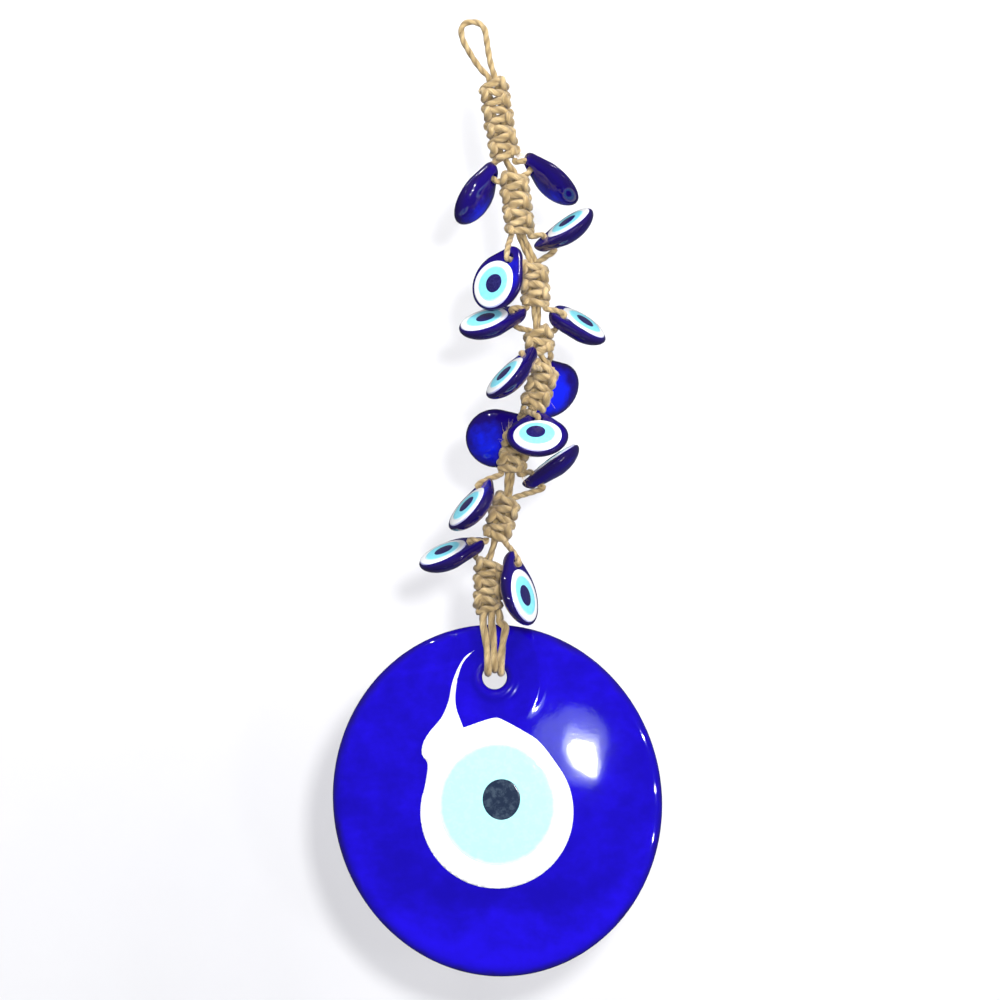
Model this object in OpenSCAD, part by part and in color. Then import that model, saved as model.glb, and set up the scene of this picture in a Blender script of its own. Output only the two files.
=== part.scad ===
// Evil eye wall hanging: a glass disc with an eye hangs in a cord sling under a strap of
// square knots in jute, and small glass eyes hang in pairs between the knotted stretches.
// The origin is the nail point under the top of the hanging loop. +Z is up, -Y is the front.

/* [Knotted strap] */
// Width of the knotted strap
strap_w = 10; // [8:0.5:12]
// Thickness of the knotted strap
strap_t = 7; // [5.5:0.5:8.5]
// Height of one half knot
knot_pitch = 3; // [2.5:0.1:3.6]
// Diameter of the jute cord
cord_d = 2.2; // [1.6:0.1:2.6]
// Gap that lets two stretches of the strap bend
bend_gap = 0.8; // [0.6:0.1:1.2]

/* [Small glass eyes] */
// Width of a small glass eye
bead_w = 20.4; // [17:0.2:24.6]
// How much longer a small glass eye is than wide, to carry its bore
bead_neck = 3; // [2.4:0.1:3.6]
// Thickness of a small glass eye
bead_t = 6.6; // [5.5:0.1:7.9]
// Bore that the cord runs through
bead_bore_d = 3.4; // [2.8:0.1:4.2]
// Glass left between the bore and the edge
bead_edge = 2.9; // [2.4:0.1:3.5]
// How far the eye lies off the middle of the glass, away from the bore
bead_eye_off = 1.2; // [0.8:0.1:1.4]
// Diameter of the white ring
bead_white_d = 16.6; // [13.8:0.2:19.8]
// Diameter of the pale blue ring
bead_iris_d = 12.6; // [10.5:0.1:13.6]
// Diameter of the dark drop
bead_pupil_d = 6.8; // [5.6:0.1:8.4]

/* [Glass disc] */
// Width of the disc
disc_w = 110; // [91:1:132]
// Height of the disc
disc_h = 118; // [98:1:142]
// How far the disc's long way leans to the left
disc_tilt = 10; // [0:1:20]
// Thickness of the disc in its middle
disc_t = 9; // [7.5:0.5:11]
// Thickness of the disc at its rim
disc_rim_t = 6; // [5:0.5:7]
// Diameter of the hole that the sling runs through
disc_hole_d = 8.2; // [7.4:0.2:10]
// Distance from the top of the disc to the middle of the hole
disc_hole_drop = 17.7; // [16:0.1:20]
// Width of the hollow that the tool pressed round the hole
hollow_w = 27; // [24:1:32]
// Depth of that hollow
hollow_depth = 1.6; // [1.2:0.1:2]

/* [Eye of the disc] */
// Width of the white layer
white_w = 51; // [46:1:56]
// Width of the pale blue ring
iris_w = 39; // [33:1:44]
// Width of the dark drop
pupil_w = 12.8; // [10.7:0.2:15.4]

/* [Hidden] */
$fn = 48;
LAYERS = ["glass", "white", "iris"];

jute = [0.80, 0.70, 0.52];
cobalt = [0.07, 0.05, 0.72];
milk = [0.95, 0.96, 0.95];
ice = [0.70, 0.94, 0.97];
slate = [0.16, 0.22, 0.30];

cord_r = cord_d / 2;
// Clearance between a fixed cord and a glass part that moves past it
clear = 0.5;
bead_l = bead_w + bead_neck;

// Top of the loop's legs, where the first knot closes round them
strap_top = [6.4, -18.2];
// Each knotted stretch: x at its top, x at its foot, its half knots, the bare drop below it
stretches = [
    [6.4, 11.0, 9, 4],
    [13.4, 16.0, 7, 9],
    [20.1, 21.1, 5, 7],
    [21.4, 22.7, 3, 3],
    [24.7, 20.1, 5, 6.5],
    [15.7, 12.4, 5, 7.5],
    [11.7, 7.4, 5, 6.5],
    [5.3, 5.0, 6, 0]
];

function stretch_len(k) = stretches[k][2] * knot_pitch;
function top_z(k) = k == 0 ? strap_top.y : foot_z(k - 1) - stretches[k - 1][3];
function foot_z(k) = top_z(k) - stretch_len(k);
function top_of(k) = [stretches[k][0], 0, top_z(k)];
function foot_of(k) = [stretches[k][1], 0, foot_z(k)];

function lean(k) = atan2(stretches[k][0] - stretches[k][1], stretch_len(k));

last = len(stretches) - 1;

// Each small eye: the stretch it hangs under, the hole's place from that stretch's foot,
// its swing about Z, droop and roll, and its size beside the common one
eyes = [
    [0, [-6, -0.6, -5], 158, 61, 4, 1],
    [0, [9.7, 0.8, -1.4], 10, 45, -12, 1],
    [1, [8.8, 0, -2.1], -22, -27, 27, 1],
    [1, [-3.1, -4.8, -8.5], 176, 61, -52, 1],
    [2, [-7.5, -2, -3], -178, 18, -23, 1],
    [2, [8.1, 0.9, -4.5], 44, 12, 36, 1],
    [3, [-4.8, -8.8, -1.4], -152, 47, 5, 1],
    [3, [2.0, 7.6, -5.8], 66, 45, -50, 1],
    [4, [-5.1, 7.6, -6.2], 165, 26, 71, 1],
    [4, [1.4, -7.4, -4.8], -90, 37, 0, 1],
    [5, [8.4, 1.5, -1.9], 25, -32, -13, 1],
    [5, [-9, -2.5, -5.7], -123, 44, 26, 1],
    [6, [-7.6, 0, -2.2], 172, 21, -21, 1],
    [6, [5.8, -6.1, -8.1], -52, 73, -25, 1.1]
];

// Width of the small eyes that the holes' places are written for; wider ones hang further out
places_w = 20.4;
// How far a hole moves out for each millimetre of extra width
places_shift = 0.45;
// Thickness of the strap that the holes' places are written for; round a thicker one they hang further off
places_t = 7;

function pad2(k) = str(k < 9 ? "0" : "", k + 1);
function eye_name(k, layer) = str("bead_", pad2(k), "_", layer);

// ---- Cords ----

function unit(v) = v / norm(v);
function tangent(path, i) = unit(path[min(i + 1, len(path) - 1)] - path[max(i - 1, 0)]);

// A cord swept along a path. flat_axis is a direction that the path never runs along.
module cord(path, flat_axis, d = cord_d, sides = 8) {
    count = len(path);
    rings = [for (i = [0 : count - 1])
        let (t = tangent(path, i), u = unit(cross(t, flat_axis)), v = cross(t, u))
        for (s = [0 : sides - 1]) path[i] + d / 2 * (cos(s * 360 / sides) * u + sin(s * 360 / sides) * v)];
    skin = [for (i = [0 : count - 2], s = [0 : sides - 1], half = [0, 1])
        let (a = i * sides, b = a + sides, n = (s + 1) % sides)
        half == 0 ? [a + s, b + s, b + n] : [a + s, b + n, a + n]];
    caps = [[for (s = [0 : sides - 1]) s], [for (s = [0 : sides - 1]) count * sides - 1 - s]];
    polyhedron(rings, concat(skin, caps), convexity = 6);
}

// The loop's route, from its left leg over the nail point and down its right leg
loop_route = [
    [5.0, 0, -17.0], [3.2, 0, -15.2], [1.0, 0, -12.4], [-0.9, 0, -9.4], [-2.6, 0, -6.4],
    [-3.5, 0, -4.4], [-3.9, 0, -2.4], [-3.7, 0, -0.6], [-2.6, 0, 0.7], [-1, 0, 1.1], [0.8, 0, 1.1],
    [2.6, 0, 0.3], [3.9, 0, -1.4], [4.4, 0, -3.6], [4.8, 0, -6.4], [5.4, 0, -10.2],
    [6.2, 0, -13.8], [7.2, 0, -17.0]
];

module hanging_loop() {
    color(jute) cord(loop_route, [0, 1, 0]);
}

// ---- Knotted strap ----

// Outline with one rounded rib for each half knot, from its foot at 0 up; it narrows at both ends
function ribbed(width, count) =
    let (side = [for (i = [0 : count - 1], p = [[-0.09, 0], [0, 0.25], [0, 0.75], [-0.09, 1]])
        let (tip = (i == 0 && p.y == 0) || (i == count - 1 && p.y == 1) ? 0.12 : 0)
        [width * (0.5 + p.x - tip), (i + p.y) * knot_pitch]])
    concat(side, [for (i = [len(side) - 1 : -1 : 0]) [-side[i].x, side[i].y]]);

// One knotted stretch, ribbed all round, leaning from its top to its foot
module stretch(k) {
    translate(foot_of(k)) rotate([0, lean(k), 0]) scale([1, 1, 1 / cos(lean(k))]) intersection() {
        rotate([90, 0, 0]) linear_extrude(2 * strap_t, center = true)
            polygon(ribbed(strap_w, stretches[k][2]));
        rotate([90, 0, 90]) linear_extrude(2 * strap_w, center = true)
            polygon(ribbed(strap_t, stretches[k][2]));
    }
}

// The two bare core cords that show above a stretch, up to the foot of the one before
module bare_core(k) {
    above = foot_of(k - 1) - [0, 0, bend_gap + sin(abs(lean(k - 1))) * cord_d];
    for (x = [-cord_r, cord_r])
        cord([above + [x, 0, 0], above + [x, 0, -0.6], top_of(k) + [x, 0, 0], top_of(k) + [x, 0, -1]],
            [0, 1, 0]);
}

function turn_x(v, a) = [v.x, v.y * cos(a) - v.z * sin(a), v.y * sin(a) + v.z * cos(a)];
function turn_y(v, a) = [v.x * cos(a) + v.z * sin(a), v.y, v.z * cos(a) - v.x * sin(a)];
function turn_z(v, a) = [v.x * cos(a) - v.y * sin(a), v.x * sin(a) + v.y * cos(a), v.z];

function eye_turn(k, v) = turn_z(turn_y(turn_x(v, eyes[k][4]), eyes[k][3]), eyes[k][2]);
function eye_hole(k) =
    let (place = eyes[k][1], out = unit([place.x, place.y, 0]))
    foot_of(eyes[k][0]) + place + places_shift * (bead_w - places_w) * out
        + [0, sign(place.y) * (strap_t - places_t) / 2, 0];

boss_r = bead_bore_d / 2 + bead_edge;
// How deep an eye's cord ends in the stretch below it
root_depth = 1.6;

// The stretch of knotting cord that carries a small eye: out of the strap and through the bore
module eye_cord(k) {
    front = 0.4 * bead_t + clear + 0.6;
    behind = 0.6 * bead_t + clear + 0.8;
    at = eye_hole(k);
    root = top_of(eyes[k][0] + 1) - [0, 0, root_depth];
    cord([
        at + eye_turn(k, [0, 0, front]),
        at,
        at + eye_turn(k, [0, 0, -0.6 * behind]),
        at + eye_turn(k, [0.06 * behind, 0, -behind]),
        root + 0.3 * (at - root) - [0, 0, 1],
        root
    ], eye_turn(k, [0, 1, 0]));
}

module sinnet(k) {
    color(jute) {
        stretch(k);
        if (k > 0) bare_core(k);
        for (e = [0 : len(eyes) - 1])
            if (eyes[e][0] == k - 1) eye_cord(e);
    }
}

// ---- Small glass eyes ----

// Middle of the glass's round part, from the hole along the glass
function glass_mid(k) = bead_l * eyes[k][5] - boss_r - bead_w * eyes[k][5] / 2;

// A drop of glass pressed nearly flat in front, with a full round back and a thin edge
module drop(r, t) {
    rotate_extrude($fn = 36)
        polygon([
            [0, -0.6 * t], [0.45 * r, -0.5 * t], [0.8 * r, -0.2 * t], [0.98 * r, 0.02 * t],
            [r, 0.12 * t], [0.97 * r, 0.24 * t], [0.75 * r, 0.34 * t], [0, 0.4 * t]
        ]);
}

// A thin layer on the front of a small eye, domed by its crown; heights are shares of the glass
module layer(r, floor_z, edge_z, crown_z) {
    rotate_extrude()
        polygon(bead_t * [[0, floor_z], [r / bead_t, floor_z], [r / bead_t, edge_z], [0, crown_z]]);
}

module eye_white(grow) {
    layer(bead_white_d * grow / 2, 0.12, 0.37, 0.42);
}

module eye_iris(grow) {
    layer(bead_iris_d * grow / 2, 0.2, 0.4, 0.44);
}

module eye_pupil(grow) {
    layer(bead_pupil_d * grow / 2, 0.28, 0.43, 0.46);
}

module place_eye(k) {
    translate(eye_hole(k)) rotate([eyes[k][4], eyes[k][3], eyes[k][2]]) children();
}

module bead_glass(k) {
    grow = eyes[k][5];
    color(cobalt) place_eye(k) {
        difference() {
            hull() {
                translate([glass_mid(k), 0, 0]) drop(bead_w * grow / 2, bead_t);
                drop(boss_r, 0.75 * bead_t);
            }
            cylinder(h = 3 * bead_t, d = bead_bore_d, center = true);
            translate([glass_mid(k) + bead_eye_off, 0, 0]) eye_white(grow);
        }
        translate([glass_mid(k) + bead_eye_off, 0, 0]) eye_pupil(grow);
    }
}

module bead_white(k) {
    grow = eyes[k][5];
    color(milk) place_eye(k) translate([glass_mid(k) + bead_eye_off, 0, 0]) difference() {
        eye_white(grow);
        eye_iris(grow);
    }
}

module bead_iris(k) {
    grow = eyes[k][5];
    color(ice) place_eye(k) translate([glass_mid(k) + bead_eye_off, 0, 0]) difference() {
        eye_iris(grow);
        eye_pupil(grow);
    }
}

// ---- Sling ----

sling_bar_r = cord_r;
sling_x = 7.2;
// How far apart the strands leave the bar
sling_spread = 2.8;
// How far the sling sits to the right of the last knot
sling_shift = 1.2;
// The bar that gathers the sling's strands under the last knot, and that the sling swings on
bar = foot_of(last) + [sling_shift, 0, -bend_gap / 2 - sling_bar_r];
disc_top_z = bar.z - sling_bar_r - 0.9;
hole = [sling_x, 0, disc_top_z - disc_hole_drop];
// Place of the disc's flat back, which centres the glass at the hole on the strap
back_y = (disc_t - hollow_depth) / 2;

// Places of the strands across the glass: in front of its rim and behind its back
front_y = back_y - disc_rim_t - cord_r - clear;
rear_y = back_y + cord_r + clear;

// One strand: down the front, through the hole's upper half and up the back
module strand(top_x, bulge_x, angle) {
    ring = disc_hole_d / 2 - cord_r - 0.35;
    in_x = hole.x + ring * cos(angle);
    in_z = hole.z + ring * sin(angle);
    lip_z = hole.z + disc_hole_d / 2 + cord_r;
    mid_x = (bar.x + bulge_x + in_x) / 2;
    mid_z = (bar.z + lip_z) / 2;
    cord([
        bar + [top_x, -0.5 * cord_d, -0.2],
        [bar.x + top_x, 0.7 * front_y, bar.z - 1.2],
        [bar.x + bulge_x, front_y, bar.z - 3],
        [mid_x, front_y, mid_z],
        [in_x, front_y, lip_z + 0.6],
        [in_x, 0.85 * front_y, in_z + 0.7],
        [in_x, 0.5 * front_y, in_z],
        [in_x, back_y + 0.4, in_z],
        [in_x, back_y + 1.4, in_z + 0.9],
        [in_x, rear_y + 0.2, lip_z + 0.8],
        [mid_x, rear_y, mid_z],
        [bar.x + bulge_x, rear_y, bar.z - 3],
        [bar.x + top_x, 0.6 * rear_y, bar.z - 1.2],
        bar + [top_x, 0.5 * cord_d, -0.2]
    ], [1, 0, 0]);
}

module disc_sling() {
    color(jute) {
        translate(bar) rotate([0, 90, 0])
            cylinder(h = 0.8 * strap_w, r = sling_bar_r, center = true, $fn = 8);
        strand(-sling_spread, -2.6, 145);
        strand(0, 0.2, 90);
        strand(sling_spread, 4.6, 35);
    }
}

// ---- Glass disc ----

disc_mid = [hole.x + 1, 0, disc_top_z - disc_h / 2];
rim_r = disc_rim_t / 2;

function arc(c, r, from, to, n) = [for (i = [0 : n])
    let (a = from + (to - from) * i / n) c + r * [cos(a), sin(a)]];

// Half section of the disc: flat back, round rim, low dome in front
function half_section() =
    let (flat_r = disc_w / 2 - rim_r, steps = 6)
    concat(
        [[0, 0]],
        arc([flat_r, rim_r], rim_r, -90, 90, 8),
        [for (i = [steps - 1 : -1 : 0])
            let (r = flat_r * i / steps)
            [r, disc_rim_t + (disc_t - disc_rim_t) * (1 - pow(i / steps, 2))]]
    );

module on_disc() {
    translate([disc_mid.x, back_y, disc_mid.z]) rotate([90, 0, 0]) children();
}

module disc_body() {
    rotate(disc_tilt) scale([1, disc_h / disc_w, 1]) rotate_extrude($fn = 96) polygon(half_section());
}

// Outline of the white layer: round, drawn up to a low point, with a flame that runs up its left
module white_outline() {
    scale(white_w / 51) polygon(concat(
        [[-1, 27.9], [2, 27.1], [14.3, 19.6]],
        arc([-0.2, -3.5], 25.5, 35, -205, 40),
        [[-23.3, 12.3], [-25.2, 15.7], [-24.8, 19.6], [-22.5, 23.4], [-18.7, 28], [-16.4, 33.4],
        [-15.3, 38.8], [-13.7, 43.4], [-11, 48], [-7.2, 50.9], [-11.8, 45.7], [-13.7, 38.8],
        [-13.9, 31.9], [-11.4, 24.6], [-6.4, 26.5]]
    ));
}

// Floor of the recess that holds the white layer, and how far the pale blue and dark ones stand above it
inlay_floor = disc_t - 2.4;
inlay_step = 0.6;

// A low dome over the middle of the disc that the layers of the eye are cut from
module eye_dome(rise) {
    rotate_extrude($fn = 72) polygon([[0, 0], [white_w, 0], [white_w, inlay_floor + 0.1],
        [0.75 * white_w, disc_t - 1.5 + rise], [0.4 * white_w, disc_t - 0.4 + rise], [0, disc_t + rise]]);
}

function oval(middle, width, height, n) = [for (i = [0 : n - 1])
    middle + [width / 2 * cos(i * 360 / n), height / 2 * sin(i * 360 / n)]];

module white_prism() {
    translate([0, 0, inlay_floor]) linear_extrude(disc_t) white_outline();
}

module iris_prism() {
    translate([0, 0, inlay_floor + inlay_step]) linear_extrude(disc_t)
        polygon(oval([0, -0.8], iris_w, 1.05 * iris_w, 48));
}

module pupil_prism() {
    translate([0, 0, inlay_floor + 2 * inlay_step]) linear_extrude(disc_t)
        polygon(oval([1.3, 0.8], pupil_w, 1.09 * pupil_w, 32));
}

module disc_glass() {
    color(cobalt) on_disc() difference() {
        disc_body();
        translate([hole.x - disc_mid.x, hole.z - disc_mid.z, 0]) {
            translate([0, 0, -1]) cylinder(h = disc_t + 2, d = disc_hole_d);
            translate([0, 0, disc_rim_t - 0.2])
                cylinder(h = 2 * hollow_depth, r1 = hollow_w / 4, r2 = hollow_w / 2 + 1);
            translate([-hollow_w / 4, 0, disc_rim_t - 0.2])
                cube([hollow_w / 2, 2 * disc_hole_drop, disc_t]);
        }
        white_prism();
    }
}

module disc_white() {
    color(milk) on_disc() difference() {
        intersection() {
            eye_dome(0.15);
            white_prism();
        }
        iris_prism();
    }
}

module disc_iris() {
    color(ice) on_disc() difference() {
        intersection() {
            eye_dome(0.25);
            iris_prism();
        }
        pupil_prism();
    }
}

module disc_pupil() {
    color(slate) on_disc() intersection() {
        eye_dome(0.35);
        pupil_prism();
    }
}

hanging_loop();
for (k = [0 : last])
    sinnet(k);
disc_sling();
disc_glass();
disc_white();
disc_iris();
disc_pupil();
for (k = [0 : len(eyes) - 1]) {
    bead_glass(k);
    bead_white(k);
    bead_iris(k);
}
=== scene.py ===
"""Evil eye wall hanging: jute square knots, small glass eyes hung in pairs and a large glass disc.

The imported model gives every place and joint, and this script gives the looks. Sizes in the
classes are in millimetres; finished meshes are in metres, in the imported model's own axes:
+Z up, -Y to the front, with the nail point at the origin.
"""

from __future__ import annotations

import logging
import math
from dataclasses import dataclass, field
from enum import Enum
from typing import Callable, Iterable, Sequence

import bmesh
import bpy
import numpy as np
from mathutils import Matrix, Vector

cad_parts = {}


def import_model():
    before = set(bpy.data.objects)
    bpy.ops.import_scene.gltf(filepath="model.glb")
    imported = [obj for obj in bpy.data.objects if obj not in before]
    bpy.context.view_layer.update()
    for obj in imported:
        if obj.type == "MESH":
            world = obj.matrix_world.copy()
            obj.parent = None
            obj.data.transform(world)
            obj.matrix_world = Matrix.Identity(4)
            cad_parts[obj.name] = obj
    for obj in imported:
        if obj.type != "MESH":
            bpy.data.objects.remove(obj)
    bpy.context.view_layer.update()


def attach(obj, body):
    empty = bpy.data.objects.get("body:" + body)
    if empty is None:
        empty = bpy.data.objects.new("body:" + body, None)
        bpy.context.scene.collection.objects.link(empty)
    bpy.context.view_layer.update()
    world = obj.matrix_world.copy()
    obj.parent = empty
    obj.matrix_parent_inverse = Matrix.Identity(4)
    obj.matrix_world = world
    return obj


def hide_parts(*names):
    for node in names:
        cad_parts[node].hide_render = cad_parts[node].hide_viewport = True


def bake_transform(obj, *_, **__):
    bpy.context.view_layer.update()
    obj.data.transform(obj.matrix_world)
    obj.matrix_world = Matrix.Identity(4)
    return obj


LOG = logging.getLogger("evil_eye")
MM = 0.001
Pair = tuple[float, float]
Triple = tuple[float, float, float]
Colour = Triple
Oval = tuple[float, float, float, float]
Law = Callable[[np.ndarray, np.ndarray], np.ndarray]


# ---- Shader building ----


class Wire:
    """A socket in a material. Python's operators on it add Math nodes."""

    def __init__(self, graph: "Graph", socket: bpy.types.NodeSocket | None) -> None:
        """Keeps the graph and the socket; the output node has none."""
        self.graph = graph
        self.socket = socket

    def _math(self, operation: str, first: "Wire | float", second: "Wire | float") -> "Wire":
        """Adds one Math node."""
        return self.graph.node("ShaderNodeMath", {"operation": operation}, {0: first, 1: second})

    def __add__(self, other: "Wire | float") -> "Wire":
        """Self plus other."""
        return self._math("ADD", self, other)

    def __radd__(self, other: float) -> "Wire":
        """Other plus self."""
        return self._math("ADD", other, self)

    def __sub__(self, other: "Wire | float") -> "Wire":
        """Self minus other."""
        return self._math("SUBTRACT", self, other)

    def __rsub__(self, other: float) -> "Wire":
        """Other minus self."""
        return self._math("SUBTRACT", other, self)

    def __mul__(self, other: "Wire | float") -> "Wire":
        """Self times other."""
        return self._math("MULTIPLY", self, other)

    def __rmul__(self, other: float) -> "Wire":
        """Other times self."""
        return self._math("MULTIPLY", other, self)

    def __truediv__(self, other: "Wire | float") -> "Wire":
        """Self over other."""
        return self._math("DIVIDE", self, other)

    def __pow__(self, other: float) -> "Wire":
        """Self to the power of other."""
        return self._math("POWER", self, other)

    def step(self, low: float, high: float) -> "Wire":
        """Rises smoothly from 0 at low to 1 at high.

        Args:
            low: Value that gives 0.
            high: Value that gives 1.

        Returns:
            The smoothed share.
        """
        return self.graph.node(
            "ShaderNodeMapRange",
            {"interpolation_type": "SMOOTHSTEP"},
            {"Value": self, "From Min": low, "From Max": high},
        )


class Graph:
    """The node tree of one material."""

    def __init__(self, name: str) -> None:
        """Starts an empty material of that name."""
        self.material = bpy.data.materials.new(name)
        self.material.use_nodes = True
        self.tree = self.material.node_tree
        self.tree.nodes.clear()

    def node(
        self,
        kind: str,
        settings: dict | None = None,
        inputs: dict | None = None,
        output: int | str = 0,
    ) -> Wire:
        """Adds one node.

        Args:
            kind: Blender's type name of the node.
            settings: Its properties, set before its sockets.
            inputs: Values or wires of its sockets, by name or number.
            output: Which output is returned.

        Returns:
            That output as a wire.
        """
        made = self.tree.nodes.new(kind)
        for key, value in (settings or {}).items():
            setattr(made, key, value)
        for key, value in (inputs or {}).items():
            if isinstance(value, Wire):
                self.tree.links.new(value.socket, made.inputs[key])
            else:
                made.inputs[key].default_value = value
        return Wire(self, made.outputs[output] if made.outputs else None)

    def mix(self, share: Wire | float, first: Wire | Colour, second: Wire | Colour) -> Wire:
        """Mixes two colours by a share from 0 to 1."""
        pair = [c if isinstance(c, Wire) else (*c, 1.0) for c in (first, second)]
        return self.node(
            "ShaderNodeMix", {"data_type": "RGBA"}, {0: share, 6: pair[0], 7: pair[1]}, 2
        )

    def attribute(self, name: str, output: str) -> Wire:
        """Reads an attribute of the mesh: output is Vector or Fac."""
        return self.node("ShaderNodeAttribute", {"attribute_name": name}, {}, output)

    def place(self) -> Wire:
        """The object coordinates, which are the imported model's own, in metres."""
        return self.node("ShaderNodeTexCoord", {}, {}, "Object")

    def stretch(self, vector: Wire, by: Sequence[float]) -> Wire:
        """Scales a vector with a Mapping node."""
        return self.node("ShaderNodeMapping", {}, {"Vector": vector, "Scale": by})

    def noise(self, vector: Wire, scale: float, detail: float = 2.0, rough: float = 0.5) -> Wire:
        """Soft noise of about 0 to 1 over a vector."""
        return self.node(
            "ShaderNodeTexNoise",
            {"noise_dimensions": "3D"},
            {"Vector": vector, "Scale": scale, "Detail": detail, "Roughness": rough},
        )

    def bump(self, height: Wire, distance: float) -> Wire:
        """A Bump node that feeds Normal; distance is in metres."""
        return self.node("ShaderNodeBump", {}, {"Height": height, "Strength": 1.0, "Distance": distance})

    def surface(self, sockets: dict) -> bpy.types.Material:
        """Ends the material in a Principled shader with those sockets."""
        shader = self.node("ShaderNodeBsdfPrincipled", {}, sockets)
        self.node("ShaderNodeOutputMaterial", {}, {"Surface": shader})
        return self.material


# ---- Finishes ----


@dataclass(frozen=True)
class Jute:
    """Natural two-ply jute: fibres along the plies, painted shade between them, and hairy."""

    name: str = "jute_twist"
    pale: Colour = (0.74, 0.56, 0.29)
    warm: Colour = (0.56, 0.405, 0.19)
    deep: Colour = (0.24, 0.155, 0.065)
    # Colour of the painted shade in the groove between the plies.
    painted_groove_shade: Colour = (0.105, 0.06, 0.022)

    def build(self) -> bpy.types.Material:
        """Makes the material; it reads the cord's own attribute, strand."""
        g = Graph(self.name)
        strand = g.attribute("strand", "Vector")
        fibres = g.noise(g.stretch(strand, (1.0, 1.0, 0.12)), 3.2, 4.0, 0.66)
        fine = g.noise(g.stretch(strand, (1.0, 1.0, 0.06)), 9.0, 3.0, 0.65)
        patches = g.noise(g.place(), 210.0, 2.0)
        across = g.node("ShaderNodeVectorMath", {"operation": "LENGTH"},
                        {0: g.stretch(strand, (1.0, 1.0, 0.0))}, 1)
        crown = across.step(0.74, 1.04)
        base = g.mix(patches.step(0.36, 0.66), self.warm, self.pale)
        base = g.mix(fibres.step(0.56, 0.30) * 0.75, base, self.deep)
        # Painted shade: darker between the plies, where shade falls in the groove.
        base = g.mix((1.0 - crown) * 0.72, base, self.painted_groove_shade)
        normal = g.bump(fibres * 0.6 + fine * 0.4, 0.0005)
        return g.surface({
            "Base Color": base,
            "Roughness": 0.72 + fine * 0.2,
            "Specular IOR Level": 0.25,
            "Sheen Weight": 0.35,
            "Sheen Roughness": 0.5,
            "Normal": normal,
        })


@dataclass(frozen=True)
class CobaltGlass:
    """Cobalt glass with painted light and shade: painted brighter where light would pass through, darker
    towards its edge, with a faint painted glow.
    """

    name: str
    # edge is the painted shade at the rim, glow the painted lit-through colour that specks also use, lit the
    # strength of the painted glow.
    edge: Colour
    body: Colour
    glow: Colour
    swirl: float
    wave: float
    lit: float
    brink: float

    def build(self) -> bpy.types.Material:
        """Makes the material; it reads the attributes rim, glow and local."""
        g = Graph(self.name)
        local = g.attribute("local", "Vector")
        rim = g.attribute("rim", "Fac")
        glow = g.attribute("glow", "Fac")
        clouds = g.noise(local, 0.09 * self.swirl, 4.0, 0.6)
        streaks = g.noise(g.stretch(local, (0.5, 1.0, 1.0)), 0.3 * self.swirl, 3.0, 0.55)
        specks = g.noise(local, 2.2 * self.swirl, 2.0, 0.7)
        # Painted light: the glow attribute, stirred by clouds and streaks in the glass, sets how far each
        # point is painted from body to glow colour.
        lit = (glow + (clouds - 0.5) * 0.9 + (streaks - 0.5) * 0.35).step(0.15, 1.0)
        base = g.mix(lit, self.body, self.glow)
        # Painted shade: darker towards the edge, standing in for looking through thick glass there.
        base = g.mix((rim + (clouds - 0.5) * 0.10).step(self.brink, 1.01), base, self.edge)
        base = g.mix(specks.step(0.62, 0.78) * 0.18, base, self.glow)
        bends = g.noise(local, 0.05 * self.swirl, 1.0)
        pits = g.noise(local, 0.9 * self.swirl, 2.0, 0.6)
        normal = g.bump(bends * 0.97 + pits * 0.03, self.wave)
        return g.surface({
            "Base Color": base,
            "Roughness": 0.05 + specks.step(0.5, 0.8) * 0.05,
            "IOR": 1.5,
            "Specular IOR Level": 0.5,
            "Coat Weight": 0.2,
            "Coat Roughness": 0.02,
            # Painted light: the glass glows faintly in its own colour, as if lit through, though it is no
            # lamp.
            "Emission Color": base,
            "Emission Strength": self.lit,
            "Normal": normal,
        })


@dataclass(frozen=True)
class EyeGlass:
    """Opaque glass of an eye's layer, glossy, a little cloudy, and tinted where it thins out."""

    name: str
    body: Colour
    cloud: Colour
    brink: Colour
    brink_from: float
    cloud_scale: float
    cloud_share: float = 0.35

    def build(self) -> bpy.types.Material:
        """Makes the material; it reads the attributes rim and local."""
        g = Graph(self.name)
        local = g.attribute("local", "Vector")
        rim = g.attribute("rim", "Fac")
        clouds = g.noise(local, self.cloud_scale, 4.0, 0.65)
        base = g.mix(clouds.step(0.42, 0.68) * self.cloud_share, self.body, self.cloud)
        base = g.mix((rim + (clouds - 0.5) * 0.05).step(self.brink_from, 1.0), base, self.brink)
        bends = g.noise(local, 0.2, 2.0)
        return g.surface({
            "Base Color": base,
            "Roughness": 0.08 + clouds * 0.06,
            "IOR": 1.5,
            "Coat Weight": 0.3,
            "Coat Roughness": 0.03,
            "Normal": g.bump(bends, 0.00012),
        })


@dataclass(frozen=True)
class Backdrop:
    """Plain pale wall or floor, which is clear from behind."""

    name: str
    tone: Colour
    lit: float = 0.06

    def build(self) -> bpy.types.Material:
        """Makes the material."""
        g = Graph(self.name)
        grain = g.noise(g.place(), 60.0, 3.0)
        tone = g.mix(grain, self.tone, tuple(0.985 * c for c in self.tone))
        pale = g.node("ShaderNodeBsdfPrincipled", {}, {
            "Base Color": tone, "Roughness": 1.0, "Specular IOR Level": 0.0,
            "Emission Color": (0.90, 0.90, 1.0, 1.0), "Emission Strength": self.lit,
        })
        clear = g.node("ShaderNodeBsdfTransparent")
        behind = g.node("ShaderNodeNewGeometry", {}, {}, "Backfacing")
        mixed = g.node("ShaderNodeMixShader", {}, {0: behind, 1: pale, 2: clear})
        g.node("ShaderNodeOutputMaterial", {}, {"Surface": mixed})
        return g.material


class Slot(Enum):
    """The record's material slots."""

    JUTE = "jute_cord"
    COBALT = "cobalt_glass"
    MILK = "milk_glass"
    ICE = "ice_glass"
    SLATE = "slate_glass"


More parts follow.
